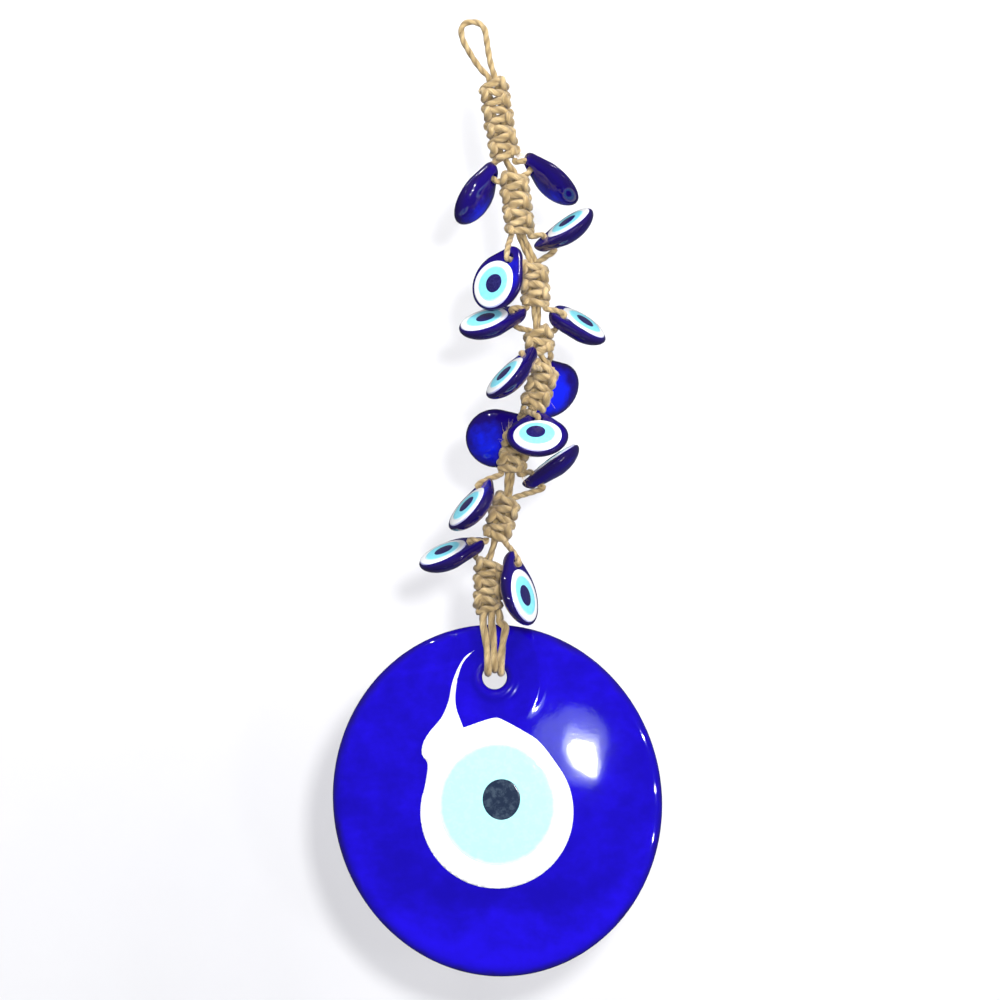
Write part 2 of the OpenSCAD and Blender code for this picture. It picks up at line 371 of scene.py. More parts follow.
class Finishes:
    """One material of each kind, shared by the pieces."""

    def __init__(self) -> None:
        """Builds every finish once."""
        self.jute = Jute().build()
        self.disc = CobaltGlass(
            "cobalt_disc", edge=(0.008, 0.003, 0.13), body=(0.005, 0.0006, 0.29),
            glow=(0.010, 0.0020, 0.55), swirl=1.0, wave=0.00022, lit=0.16, brink=0.955,
        ).build()
        self.small = CobaltGlass(
            "cobalt_small", edge=(0.009, 0.004, 0.06), body=(0.008, 0.002, 0.125),
            glow=(0.005, 0.014, 0.75), swirl=2.2, wave=0.0002, lit=0.12, brink=0.84,
        ).build()
        self.milk = EyeGlass("milk_glass", (0.87, 0.88, 0.885), (0.80, 0.83, 0.87),
                             (0.50, 0.50, 0.80), 0.955, 0.4).build()
        self.ice = EyeGlass("ice_glass", (0.40, 0.88, 0.91), (0.50, 0.92, 0.94),
                            (0.74, 0.92, 0.93), 0.93, 0.5).build()
        self.small_ice = EyeGlass("small_ice_glass", (0.22, 0.72, 0.86), (0.40, 0.84, 0.90),
                                  (0.62, 0.88, 0.92), 0.88, 0.9).build()
        self.slate = EyeGlass("slate_glass", (0.012, 0.022, 0.048), (0.05, 0.075, 0.11),
                              (0.03, 0.05, 0.09), 0.96, 0.45, 0.8).build()
        self.navy = EyeGlass("navy_drop", (0.013, 0.010, 0.085), (0.03, 0.028, 0.16),
                             (0.03, 0.03, 0.2), 0.95, 1.5, 0.6).build()


# ---- Making pieces ----


def flow(points: Sequence[Sequence[float]], step: float) -> np.ndarray:
    """Lays one smooth line through points and spaces it evenly.

    Args:
        points: The points that it passes through.
        step: Distance between the points of the result.

    Returns:
        The line as an array of points.
    """
    p = np.asarray(points, float)
    p = np.vstack([2 * p[0] - p[1], p, 2 * p[-1] - p[-2]])
    t = np.linspace(0, 1, 16, endpoint=False)[:, None]
    runs = [
        0.5 * (2 * b + (c - a) * t + (2 * a - 5 * b + 4 * c - d) * t**2 + (3 * b - a - 3 * c + d) * t**3)
        for a, b, c, d in zip(p[:-3], p[1:-2], p[2:-1], p[3:])
    ]
    line = np.vstack([*runs, p[-2:-1]])
    along = np.concatenate([[0], np.cumsum(np.linalg.norm(np.diff(line, axis=0), axis=1))])
    count = max(3, round(along[-1] / step))
    at = np.linspace(0, along[-1], count + 1)
    return np.column_stack([np.interp(at, along, line[:, i]) for i in range(3)])


def smooth_share(value: np.ndarray, low: float, high: float) -> np.ndarray:
    """Rises smoothly from 0 at low to 1 at high."""
    t = np.clip((value - low) / (high - low), 0, 1)
    return t * t * (3 - 2 * t)


def far_edge(angle: np.ndarray, low: float, high: float, holds: Law) -> np.ndarray:
    """Finds how far a shape reaches in each direction, by halving.

    Args:
        angle: The directions.
        low: A distance that is inside everywhere.
        high: A distance that is outside everywhere.
        holds: Says which points are inside.

    Returns:
        The distances.
    """
    near, far = np.full(angle.shape, low), np.full(angle.shape, high)
    for _ in range(44):
        r = (near + far) / 2
        inside = holds(r * np.cos(angle), r * np.sin(angle))
        near, far = np.where(inside, r, near), np.where(inside, far, r)
    return near


def linked(name: str, data: bpy.types.ID) -> bpy.types.Object:
    """Makes an object and links it to the scene."""
    made = bpy.data.objects.new(name, data)
    bpy.context.scene.collection.objects.link(made)
    return made


def curve_of(name: str, lines: Iterable[np.ndarray], flat: bool = False) -> bpy.types.Curve:
    """Makes a curve with one straight-sided spline for each line of points."""
    curve = bpy.data.curves.new(name, "CURVE")
    curve.dimensions = "2D" if flat else "3D"
    for line in lines:
        points = curve.splines.new("POLY").points
        points.add(len(line) - 1)
        points.foreach_set("co", np.column_stack([line, np.ones(len(line))]).ravel())
    return curve


def swept_mesh(curve: bpy.types.Curve) -> bpy.types.Mesh:
    """Turns a curve with a bevel into a mesh."""
    holder = linked(curve.name, curve)
    graph = bpy.context.evaluated_depsgraph_get()
    mesh = bpy.data.meshes.new_from_object(holder.evaluated_get(graph))
    bpy.data.objects.remove(holder)
    return mesh


def set_points(mesh: bpy.types.Mesh, name: str, kind: str, values: np.ndarray) -> None:
    """Stores an attribute on a mesh's points.

    Args:
        mesh: The mesh.
        name: The attribute's name.
        kind: FLOAT or FLOAT_VECTOR.
        values: One value or vector for each point.
    """
    layer = mesh.attributes.new(name, kind, "POINT")
    layer.data.foreach_set("vector" if kind == "FLOAT_VECTOR" else "value",
                           np.ascontiguousarray(values, np.float32).ravel())


def shown(mesh: bpy.types.Mesh, name: str, material: bpy.types.Material) -> bpy.types.Object:
    """Links a finished mesh as a smooth piece at the origin.

    Args:
        mesh: The finished mesh, in metres.
        name: The piece's name.
        material: Its finish.

    Returns:
        The piece.
    """
    mesh.materials.clear()
    mesh.materials.append(material)
    mesh.polygons.foreach_set("use_smooth", np.ones(len(mesh.polygons), bool))
    piece = linked(name, mesh)
    return piece


def dress(mesh: bpy.types.Mesh, rim: np.ndarray, glow: np.ndarray, local: np.ndarray, place: Matrix) -> None:
    """Stores what the glass finishes read, then puts a mesh in its place, in metres.

    Args:
        mesh: A mesh in its own place, in millimetres.
        rim: Each point's rim share.
        glow: How bright each point is painted, a painted light standing in for light let through the glass.
        local: Where each point reads the clouds in the glass.
        place: The mesh's place, in millimetres.
    """
    set_points(mesh, "rim", "FLOAT", rim)
    set_points(mesh, "glow", "FLOAT", glow)
    set_points(mesh, "local", "FLOAT_VECTOR", local)
    mesh.transform(Matrix.Scale(MM, 4) @ place)


def mesh_of(bm: bmesh.types.BMesh, name: str) -> bpy.types.Mesh:
    """Writes a bmesh to a new mesh and frees it."""
    mesh = bpy.data.meshes.new(name)
    bm.to_mesh(mesh)
    bm.free()
    return mesh


def spun_rings(count: int, steps: int, closed: bool) -> bmesh.types.BMesh:
    """Spins an upright line of points into rings; ring k lies at height k.

    Args:
        count: Number of rings.
        steps: Points in each ring.
        closed: Whether the last ring joins the first.

    Returns:
        The rings as a bmesh.
    """
    bm = bmesh.new()
    line = [bm.verts.new((1, 0, k)) for k in range(count)]
    edges = [bm.edges.new(pair) for pair in zip(line, line[1:])]
    if closed:
        edges.append(bm.edges.new((line[-1], line[0])))
    bmesh.ops.spin(bm, geom=line + edges, cent=(0, 0, 0), axis=(0, 0, 1), angle=2 * math.pi,
                   steps=steps, use_merge=True)
    return bm


def lay_out(bm: bmesh.types.BMesh, law: Law) -> None:
    """Moves spun rings to their places.

    Args:
        bm: Rings from spun_rings.
        law: Gives the places from each point's ring number and angle.
    """
    co = np.array([v.co for v in bm.verts])
    places = law(np.rint(co[:, 2]).astype(int), np.arctan2(co[:, 1], co[:, 0]))
    for vert, place in zip(bm.verts, places):
        vert.co = place
    bmesh.ops.remove_doubles(bm, verts=bm.verts, dist=1e-5)
    bmesh.ops.recalc_face_normals(bm, faces=bm.faces)


class PlyProfile:
    """Cross-section of a two-ply cord, and the sweeps made with it."""

    SIDES = 14
    LAY = 8.5

    def __init__(self) -> None:
        """Draws the unit profile, a rounded figure of eight."""
        angle = np.linspace(0, 2 * math.pi, self.SIDES, endpoint=False)
        reach = 0.80 + 0.20 * np.abs(np.cos(angle)) ** 1.1
        self.points = np.column_stack([reach * np.cos(angle), reach * np.sin(angle)])
        outline = np.column_stack([self.points, np.zeros(self.SIDES)])
        curve = curve_of("ply_profile", [outline], flat=True)
        curve.splines[0].use_cyclic_u = True
        self.object = linked("ply_profile", curve)

    def remove(self) -> None:
        """Takes the profile out of the scene."""
        bpy.data.objects.remove(self.object)

    def sweep(self, name: str, line: np.ndarray, radius: float | np.ndarray, start_turn: float = 0.0,
              lay: float | None = None) -> bpy.types.Mesh:
        """Sweeps the cord along a line.

        Args:
            name: The mesh's name.
            line: Points of the centreline, in millimetres.
            radius: The cord's radius, one number or one for each point.
            start_turn: Angle of the plies at its start.
            lay: Length in which the plies turn once.

        Returns:
            The closed mesh, in metres, with the attribute strand.
        """
        radii = np.broadcast_to(np.asarray(radius, float), (len(line),))
        along = np.concatenate([[0], np.cumsum(np.linalg.norm(np.diff(line, axis=0), axis=1))])
        curve = curve_of(name, [line * MM])
        curve.twist_mode = "MINIMUM"
        curve.bevel_mode = "OBJECT"
        curve.bevel_object = self.object
        points = curve.splines[0].points
        points.foreach_set("tilt", start_turn + along * 2 * math.pi / (lay or self.LAY))
        points.foreach_set("radius", radii * MM)
        swept = swept_mesh(curve)
        rings = len(swept.vertices) // self.SIDES
        cross = np.tile(self.points, (rings, 1))
        strand = np.column_stack([cross, np.repeat(along[:rings], self.SIDES)])
        set_points(swept, "strand", "FLOAT_VECTOR", strand)
        bm = bmesh.new()
        bm.from_mesh(swept)
        bmesh.ops.holes_fill(bm, edges=[e for e in bm.edges if e.is_boundary], sides=0)
        bmesh.ops.recalc_face_normals(bm, faces=bm.faces)
        bm.to_mesh(swept)
        bm.free()
        return swept


# ---- The strap ----


@dataclass(frozen=True)
class Stretch:
    """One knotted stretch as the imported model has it."""

    top_x: float
    foot_x: float
    half_knots: int
    drop: float
    first_side: int = 1


@dataclass
class StrapPlan:
    """Places of the knotted stretches, in millimetres."""

    pitch: float = 3.0
    top_z: float = -18.2
    bend_gap: float = 0.8
    stretches: tuple[Stretch, ...] = (
        Stretch(6.4, 11.0, 9, 4.0, -1),
        Stretch(13.4, 16.0, 7, 9.0),
        Stretch(20.1, 21.1, 5, 7.0),
        Stretch(21.4, 22.7, 3, 3.0, -1),
        Stretch(24.7, 20.1, 5, 6.5),
        Stretch(15.7, 12.4, 5, 7.5, -1),
        Stretch(11.7, 7.4, 5, 6.5),
        Stretch(5.3, 5.0, 6, 0.0),
    )

    def top(self, k: int) -> np.ndarray:
        """Middle of the top of stretch k."""
        z = self.top_z - sum(s.half_knots * self.pitch + s.drop for s in self.stretches[:k])
        return np.array([self.stretches[k].top_x, 0.0, z])

    def foot(self, k: int) -> np.ndarray:
        """Middle of the foot of stretch k."""
        s = self.stretches[k]
        return np.array([s.foot_x, 0.0, self.top(k)[2] - s.half_knots * self.pitch])

    def on(self, k: int, points: Iterable[Sequence[float]]) -> np.ndarray:
        """Puts points of a stretch in place.

        Args:
            k: The stretch.
            points: Across, in depth and down from its top.

        Returns:
            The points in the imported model's axes.
        """
        p = np.asarray(list(points), float)
        top, foot = self.top(k), self.foot(k)
        down = (foot - top) / np.linalg.norm(foot - top)
        right = np.array([-down[2], 0.0, down[0]])
        scale = np.linalg.norm(foot - top) / (self.stretches[k].half_knots * self.pitch)
        return top + p[:, :1] * right + p[:, 1:2] * np.array([0, 1.0, 0]) + p[:, 2:] * scale * down


@dataclass
class Knots:
    """The two working cords of every stretch, tied in square knots round the core."""

    plan: StrapPlan
    plies: PlyProfile
    finishes: Finishes
    radius: float = 1.36
    jitter: float = 0.13
    seed: int = 7
    lines: dict[int, list[np.ndarray]] = field(default_factory=dict)

    def crossing_cord(self, k: int, chance: np.random.Generator) -> np.ndarray:
        """The cord that always crosses in front of the core."""
        s = self.plan.stretches[k]
        points = []
        for i in range(s.half_knots):
            side = s.first_side * (-1) ** i
            mid = (i + 0.5) * self.plan.pitch
            points += [
                (-side * 2.5, -1.2, mid - 0.55), (-side * 1.15, -2.35, mid - 0.25),
                (side * 1.15, -2.35, mid + 0.2), (side * 2.5, -1.2, mid + 0.55),
            ]
            if i < s.half_knots - 1:
                points += [(side * 3.75, 0.0, mid + 1.0), (side * 4.1, 0.35, mid + 1.5),
                           (side * 3.75, 0.0, mid + 2.0)]
            else:
                points += [(side * 3.5, -0.2, mid + 0.85)]
        return self.settle(k, points, chance)

    def wrapping_cord(self, k: int, chance: np.random.Generator) -> np.ndarray:
        """The cord that runs behind the core and up through the other's loops."""
        s = self.plan.stretches[k]
        points = []
        for i in range(s.half_knots):
            side = s.first_side * (-1) ** i
            mid = (i + 0.5) * self.plan.pitch
            points += [
                (side * 2.3, 2.0, mid - 0.75), (0.0, 2.35, mid - 0.95), (-side * 2.2, 1.7, mid - 1.2),
                (-side * 2.75, 0.1, mid - 1.4), (-side * 3.0, -1.75, mid - 1.15),
                (-side * 3.2, -2.6, mid - 0.35), (-side * 3.3, -2.6, mid + 0.45),
                (-side * 3.65, -1.6, mid + 1.15), (-side * 3.8, 0.0, mid + 1.6),
                (-side * 3.2, 1.5, mid + 2.0),
            ]
        return self.settle(k, points[1:-3], chance)

    def settle(self, k: int, points: list, chance: np.random.Generator) -> np.ndarray:
        """Loosens the points a little by seeded chance and lays the cord through them."""
        loose = np.asarray(points) + chance.normal(0, self.jitter, (len(points), 3))
        return flow(self.plan.on(k, loose), 0.42)

    def build(self) -> list[bpy.types.Object]:
        """Makes both working cords of every stretch.

        Returns:
            The pieces.
        """
        made = []
        chance = np.random.default_rng(self.seed)
        for k in range(len(self.plan.stretches)):
            lines = [self.crossing_cord(k, chance), self.wrapping_cord(k, chance)]
            self.lines[k] = lines
            for role, line in zip(("front", "back"), lines):
                swell = 1 + 0.05 * np.sin(np.linspace(0, 0.9 * len(line), len(line)) * 0.31 + k)
                mesh = self.plies.sweep(f"knots_{k}_{role}", line, self.radius * swell,
                                        start_turn=chance.uniform(0, 6.28))
                piece = shown(mesh, f"knots_{k}_{role}", self.finishes.jute)
                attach(piece, f"strap_{k}")
                if role == "front":
                    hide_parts(f"sinnet_{k}")
                made.append(piece)
        return made


@dataclass
class Core:
    """The two core cords, inside each stretch and bare between two."""

    plan: StrapPlan
    plies: PlyProfile
    finishes: Finishes
    radius: float = 1.0
    spread: float = 0.85
    packed: float = 1.75

    def pair(self, spine: np.ndarray, first: float, last: float, spread: float) -> list[np.ndarray]:
        """Two lines that turn round each other along a spine."""
        turn = np.linspace(first, last, len(spine))
        out = np.column_stack([np.cos(turn), np.sin(turn), np.zeros(len(spine))]) * spread
        return [spine + out, spine - out]

    def build(self) -> list[bpy.types.Object]:
        """Makes the core of each stretch, and each bare piece between two stretches.

        Returns:
            The pieces.
        """
        made = []
        last = len(self.plan.stretches) - 1
        for k in range(last + 1):
            spine = flow([self.plan.top(k) - (0, 0, 0.9), self.plan.foot(k) + (0, 0, 0.9)], 0.8)
            for side, line in zip("ab", self.pair(spine, -0.05, 0.05, self.packed)):
                mesh = self.plies.sweep(f"core_{k}{side}", line, self.radius * 1.3)
                piece = shown(mesh, f"core_{k}{side}", self.finishes.jute)
                made.append(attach(piece, f"strap_{k}"))
        for k in range(1, last + 1):
            foot, top = self.plan.foot(k - 1), self.plan.top(k)
            bends = [foot + (0, 0, 1.6), foot + (0, 0, 0.2), 0.5 * (foot + top), top, top - (0, 0, 1.8)]
            spine = flow(bends, 0.35)
            for side, line in zip("ab", self.pair(spine, 0.3 + k, 1.6 + k, self.spread)):
                mesh = self.plies.sweep(f"bare_core_{k}{side}", line, self.radius)
                piece = shown(mesh, f"bare_core_{k}{side}", self.finishes.jute)
                made.append(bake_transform(piece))
        return made


@dataclass
class NailLoop:
    """The loop that the hanging hangs by; its legs go down into the first knot."""

    plies: PlyProfile
    finishes: Finishes
    diameter: float = 2.2
    route: tuple = (
        (5.9, 0.3, -19.6), (5.0, 0, -17.0), (3.2, 0, -15.2), (1.0, 0, -12.4), (-0.9, 0, -9.4),
        (-2.6, 0, -6.4), (-3.5, 0, -4.4), (-3.9, 0, -2.4), (-3.7, 0, -0.6), (-2.6, 0, 0.7),
        (-1.0, 0, 1.1), (0.8, 0, 1.1), (2.6, 0, 0.3), (3.9, 0, -1.4), (4.4, 0, -3.6),
        (4.8, 0, -6.4), (5.4, 0, -10.2), (6.2, 0, -13.8), (7.2, 0, -17.0), (7.6, 0.3, -19.6),
    )

    def build(self) -> bpy.types.Object:
        """Returns:
            The piece.
        """
        line = flow(self.route, 0.45)
        mesh = self.plies.sweep("nail_loop_cord", line, self.diameter / 2, lay=7.5)
        piece = shown(mesh, "nail_loop_cord", self.finishes.jute)
        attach(piece, "loop")
        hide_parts("hanging_loop")
        return piece


@dataclass
class Sling:
    """Three strands from the last knot through the disc's hole and up behind it."""

    plan: StrapPlan
    plies: PlyProfile
    finishes: Finishes
    radius: float = 1.32
    shift: float = 1.2
    bar_r: float = 1.1
    hole: Triple = (7.2, 0.0, -217.9)
    hole_r: float = 4.1
    front_y: float = -3.9
    rear_y: float = 5.3
    back_y: float = 3.7
    strands: tuple[Triple, ...] = ((-2.8, -2.6, 145), (0, 0.2, 90), (2.8, 4.6, 35))

    def route(self, top_x: float, bulge_x: float, angle: float) -> list:
        """Points of one strand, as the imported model's sling has them."""
        foot = self.plan.foot(7)
        bar = foot + (self.shift, 0, -self.plan.bend_gap / 2 - self.bar_r)
        ring = self.hole_r - self.bar_r - 0.35
        in_x = self.hole[0] + ring * math.cos(math.radians(angle))
        in_z = self.hole[2] + ring * math.sin(math.radians(angle))
        lip_z = self.hole[2] + self.hole_r + self.bar_r
        mid = ((bar[0] + bulge_x + in_x) / 2, (bar[2] + lip_z) / 2)
        return [
            (bar[0] + 0.8 * top_x, -1.6, bar[2] + 2.6), (bar[0] + top_x, -2.3, bar[2] + 0.4),
            (bar[0] + top_x, 0.7 * self.front_y, bar[2] - 1.2),
            (bar[0] + bulge_x, self.front_y, bar[2] - 3), (mid[0], self.front_y - 0.1, mid[1]),
            (in_x, self.front_y, lip_z + 0.6), (in_x, 0.85 * self.front_y, in_z + 0.7),
            (in_x, 0.5 * self.front_y, in_z), (in_x, self.back_y + 0.4, in_z),
            (in_x, self.back_y + 1.4, in_z + 0.9), (in_x, self.rear_y + 0.2, lip_z + 0.8),
            (mid[0], self.rear_y, mid[1]), (bar[0] + bulge_x, self.rear_y, bar[2] - 3),
            (bar[0] + top_x, 0.6 * self.rear_y, bar[2] - 1.2), (bar[0] + top_x, 2.2, bar[2] + 0.4),
            (bar[0] + 0.8 * top_x, 1.5, bar[2] + 2.6),
        ]

    def build(self) -> list[bpy.types.Object]:
        """Makes the strands.

        Returns:
            The pieces.
        """
        made = []
        bar_z = self.plan.foot(7)[2] - self.plan.bend_gap / 2 - self.bar_r
        for number, strand in enumerate(self.strands):
            line = flow(self.route(*strand), 0.4)
            mesh = self.plies.sweep(f"sling_{number}", line, self.radius, start_turn=0.9 * number, lay=21.0)
            piece = shown(mesh, f"sling_{number}", self.finishes.jute)
            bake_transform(piece)
            made.append(piece)
        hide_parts("disc_sling")
        return made


# ---- Small glass eyes ----


@dataclass(frozen=True)
class Hang:
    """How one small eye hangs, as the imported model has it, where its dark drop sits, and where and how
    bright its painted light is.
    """

    stretch: int
    hole: Triple
    swing: float
    droop: float
    roll: float
    grow: float = 1.0
    drop_shift: Pair = (0.0, 0.0)
    # Painted light: where the bright patch on the glass sits, and how bright it is painted.
    painted_light_at: Pair = (4.0, 0.0)
    glow: float = 0.6


# Each hang also places and weighs the painted light on its glass.
HANGS = (
    Hang(0, (-6, -0.6, -5), 158, 61, 4, painted_light_at=(8, -3), glow=0.75),
    Hang(0, (9.7, 0.8, -1.4), 10, 45, -12, painted_light_at=(6, 3), glow=0.7),
    Hang(1, (8.8, 0, -2.1), -22, -27, 27, painted_light_at=(0, 0), glow=0.3),
    Hang(1, (-3.1, -4.8, -8.5), 176, 61, -52, drop_shift=(-0.2, 0.5), painted_light_at=(0, 4), glow=0.6),
    Hang(2, (-7.5, -2, -3), -178, 18, -23, drop_shift=(-0.6, 0.3), glow=0.35),
    Hang(2, (8.1, 0.9, -4.5), 44, 12, 36, drop_shift=(0.2, 0.2), painted_light_at=(4, 6), glow=0.5),
    Hang(3, (-4.8, -8.8, -1.4), -152, 47, 5, drop_shift=(-0.3, 0.0), painted_light_at=(1, 0), glow=0.55),
    Hang(3, (2.0, 7.6, -5.8), 66, 45, -50, painted_light_at=(2, 3), glow=1.5),
    Hang(4, (-5.1, 7.6, -6.2), 165, 26, 71, painted_light_at=(7, 0), glow=0.85),
    Hang(4, (1.4, -7.4, -4.8), -90, 37, 0, drop_shift=(-1.1, -0.6), glow=0.4),
    Hang(5, (8.4, 1.5, -1.9), 25, -32, -13, glow=0.35),
    Hang(5, (-9, -2.5, -5.7), -123, 44, 26, drop_shift=(-0.4, 0.2), painted_light_at=(0, 3), glow=0.6),
    Hang(6, (-7.6, 0, -2.2), 172, 21, -21, drop_shift=(-0.5, 0.2), glow=0.4),
    Hang(6, (5.8, -6.1, -8.1), -52, 73, -25, 1.1, drop_shift=(0.2, -0.4), painted_light_at=(2, 0), glow=0.45),
)


@dataclass
class SmallEye:
    """One small eye: a drop of cobalt glass with a bore, and three layers of an eye."""

    number: int
    hang: Hang
    plan: StrapPlan
    finishes: Finishes
    width: float = 20.4
    length: float = 23.4
    thick: float = 6.6
    bore_r: float = 1.7
    boss_r: float = 4.6
    boss_share: float = 0.75
    eye_off: float = 1.2
    white_r: float = 8.3
    iris_r: float = 6.3
    drop_r: float = 3.4

    def __post_init__(self) -> None:
        """Works out the sizes of this one's round part."""
        self.round_r = self.width * self.hang.grow / 2
        self.mid = self.length * self.hang.grow - self.boss_r - self.round_r
        self.eye_x = self.mid + self.eye_off

    def at(self) -> Matrix:
        """Place of the eye: its bore's middle and its turn."""
        h = self.hang
        made = Matrix.Translation(Vector(self.plan.foot(h.stretch) + h.hole))
        for angle, axis in ((h.swing, "Z"), (h.droop, "Y"), (h.roll, "X")):
            made = made @ Matrix.Rotation(math.radians(angle), 4, axis)
        return made

    def depth(self, x: np.ndarray, y: np.ndarray) -> tuple[np.ndarray, np.ndarray]:
        """How far a point lies towards the outline.

        Args:
            x: Along the glass from the bore.
            y: Across the glass.

        Returns:
            Share of the way out, squared, and share of the way from the boss to the round part.
        """
        grow = self.round_r - self.boss_r
        slope = self.mid / grow
        p = x + slope * self.boss_r
        reach = (p * p + y * y) / np.maximum(slope * p, 1e-6)
        t = np.clip((reach - self.boss_r) / grow, 0, 1)
        r = self.boss_r + grow * t
        return ((x - self.mid * t) ** 2 + y * y) / r**2, t

    def skin(self, x: np.ndarray, y: np.ndarray, front: np.ndarray) -> np.ndarray:
        """Height of the glass's front or back."""
        out, t = self.depth(x, y)
        inside = np.clip(1 - out, 0, 1)
        k = self.thick * (self.boss_share + (1 - self.boss_share) * t)
        return k * np.where(front, 0.12 + 0.28 * inside**0.29, 0.12 - 0.72 * inside**0.62)

    def outline(self, angle: np.ndarray) -> np.ndarray:
        """Distance from the bore's middle to the outline in each direction."""
        return far_edge(angle, 1.0, 2.0 * self.length, lambda x, y: self.depth(x, y)[0] <= 1)

    def glass(self) -> bpy.types.Mesh:
        """The cobalt glass, spun round its bore and drawn out to its outline."""
        out = 1 - (1 - np.linspace(0, 1, 22)[1:-1]) ** 1.9
        rings = [("front", s) for s in (0.0, 0.012, 0.035, *out, 1.0)]
        rings += [("back", s) for s in (*out[::-1], 0.035, 0.012, 0.0)]
        rings += [("wall", s) for s in (0.25, 0.5, 0.75)]
        bm = spun_rings(len(rings), 84, True)
        kinds, shares = map(np.array, zip(*rings))

        def law(ring: np.ndarray, angle: np.ndarray) -> np.ndarray:
            """Places the rings on the front, the back and the wall of the bore."""
            kind, share = kinds[ring], shares[ring]
            s = np.where(kind == "wall", 0.0, share)
            r = self.bore_r + s * (self.outline(angle) - self.bore_r)
            x, y = r * np.cos(angle), r * np.sin(angle)
            z = self.skin(x, y, kind == "front")
            lip = np.clip(0.7 - (r - self.bore_r), 0, 0.7)
            fall = 0.7 - np.sqrt(np.maximum(0.49 - lip**2, 0))
            z = np.where(kind == "front", z - fall, z + fall)
            top = self.skin(x, y, np.full(r.shape, True)) - 0.7
            low = self.skin(x, y, np.full(r.shape, False)) + 0.7
            z = np.where(kind == "wall", low + (top - low) * share, z)
            return np.column_stack([x, y, z])

        lay_out(bm, law)
        return mesh_of(bm, self.name("glass"))

    def layer(self, part: str, radius: float, shift: Pair, edge: float, crown: float,
              floor: float, soft: float) -> bpy.types.Mesh:
        """One layer of the eye, a low drop of glass with a rounded edge.

        Args:
            part: The layer's name.
            radius: Its radius.
            shift: Its middle's shift from the eye's middle.
            edge: Height of its edge, as a share of the glass's thickness.
            crown: Height of its middle, as such a share.
            floor: Height of its floor, as such a share.
            soft: Radius of its rounded edge.

        Returns:
            The mesh, in the eye's own place.
        """
        rings = [(s, crown + (edge - crown) * s * s, 0.0) for s in np.linspace(0, 1 - soft / radius, 8)]
        rings += [(1 - soft / radius * (1 - math.sin(a)), edge, soft * (1 - math.cos(a)))
                  for a in np.linspace(0.3, math.pi / 2, 5)]
        rings += [(1.0, floor, 0.0), (0.0, floor, 0.0)]
        table = np.array(rings)
        bm = spun_rings(len(rings), 56, False)
        wobble = 0.012 * (self.number % 5 - 2)

        def law(ring: np.ndarray, angle: np.ndarray) -> np.ndarray:
            """Places the rings, a little out of round."""
            share, height, fall = table[ring].T
            r = share * radius * (1 + wobble * np.cos(2 * angle + self.number) + 0.008 * np.sin(3 * angle))
            x, y = self.eye_x + shift[0] + r * np.cos(angle), shift[1] + r * np.sin(angle)
            return np.column_stack([x, y, height * self.thick - fall])

        lay_out(bm, law)
        return mesh_of(bm, self.name(part))

    def name(self, part: str) -> str:
        """Name of one of its pieces."""
        return f"eye_{self.number:02d}_{part}"

    def dress(self, mesh: bpy.types.Mesh, middle: Pair, radius: float) -> None:
        """Stores what the finishes read, then puts the mesh in its place, in metres.

        Args:
            mesh: A mesh in the eye's own place, in millimetres.
            middle: Where its rim share is 0.
            radius: Where its rim share is 1.
        """
        co = np.array([v.co for v in mesh.vertices])
        if radius:
            rim = np.hypot(co[:, 0] - middle[0], co[:, 1] - middle[1]) / radius
        else:
            rim = np.sqrt(np.clip(self.depth(co[:, 0], co[:, 1])[0], 0, 1.2))
        # Painted light: a bright patch on the glass, as if light passes through there.
        far = np.hypot(co[:, 0] - self.mid - self.hang.painted_light_at[0] + 4, co[:, 1] - self.hang.painted_light_at[1])
        glow = self.hang.glow * np.exp(-((far / 7.8) ** 2))
        dress(mesh, rim, glow, co + np.array([31.0, 17.0, 5.0]) * self.number, self.at())

    def build(self) -> list[bpy.types.Object]:
        """Makes the glass and its three layers.

        Returns:
            The pieces.
        """
        f, grow, shift = self.finishes, self.hang.grow, self.hang.drop_shift
        node = f"bead_{self.number:02d}"
        glass = self.glass()
        self.dress(glass, (0, 0), 0)
        parts = [(glass, "glass", f.small, Slot.COBALT, f"{node}_glass")]
        layers = (
            ("white", self.white_r, (0.0, 0.0), (0.36, 0.42, 0.14), 0.55, f.milk, Slot.MILK, f"{node}_white"),
            ("iris", self.iris_r, (shift[0] * 0.3, shift[1] * 0.3), (0.405, 0.44, 0.3), 0.3, f.small_ice,
             Slot.ICE, f"{node}_iris"),
            ("drop", self.drop_r, shift, (0.435, 0.465, 0.35), 0.25, f.navy, Slot.COBALT, None),
        )
        for part, radius, off, (edge, crown, floor), soft, finish, slot, stands_for in layers:
            mesh = self.layer(part, radius * grow, off, edge, crown, floor, soft)
            self.dress(mesh, (self.eye_x + off[0], off[1]), radius * grow)
            parts.append((mesh, part, finish, slot, stands_for))
        made = []
        for mesh, part, finish, slot, stands_for in parts:
            piece = shown(mesh, self.name(part), finish)
            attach(piece, f"eye_{self.number:02d}")
            if stands_for:
                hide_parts(stands_for)
            made.append(piece)
        return made


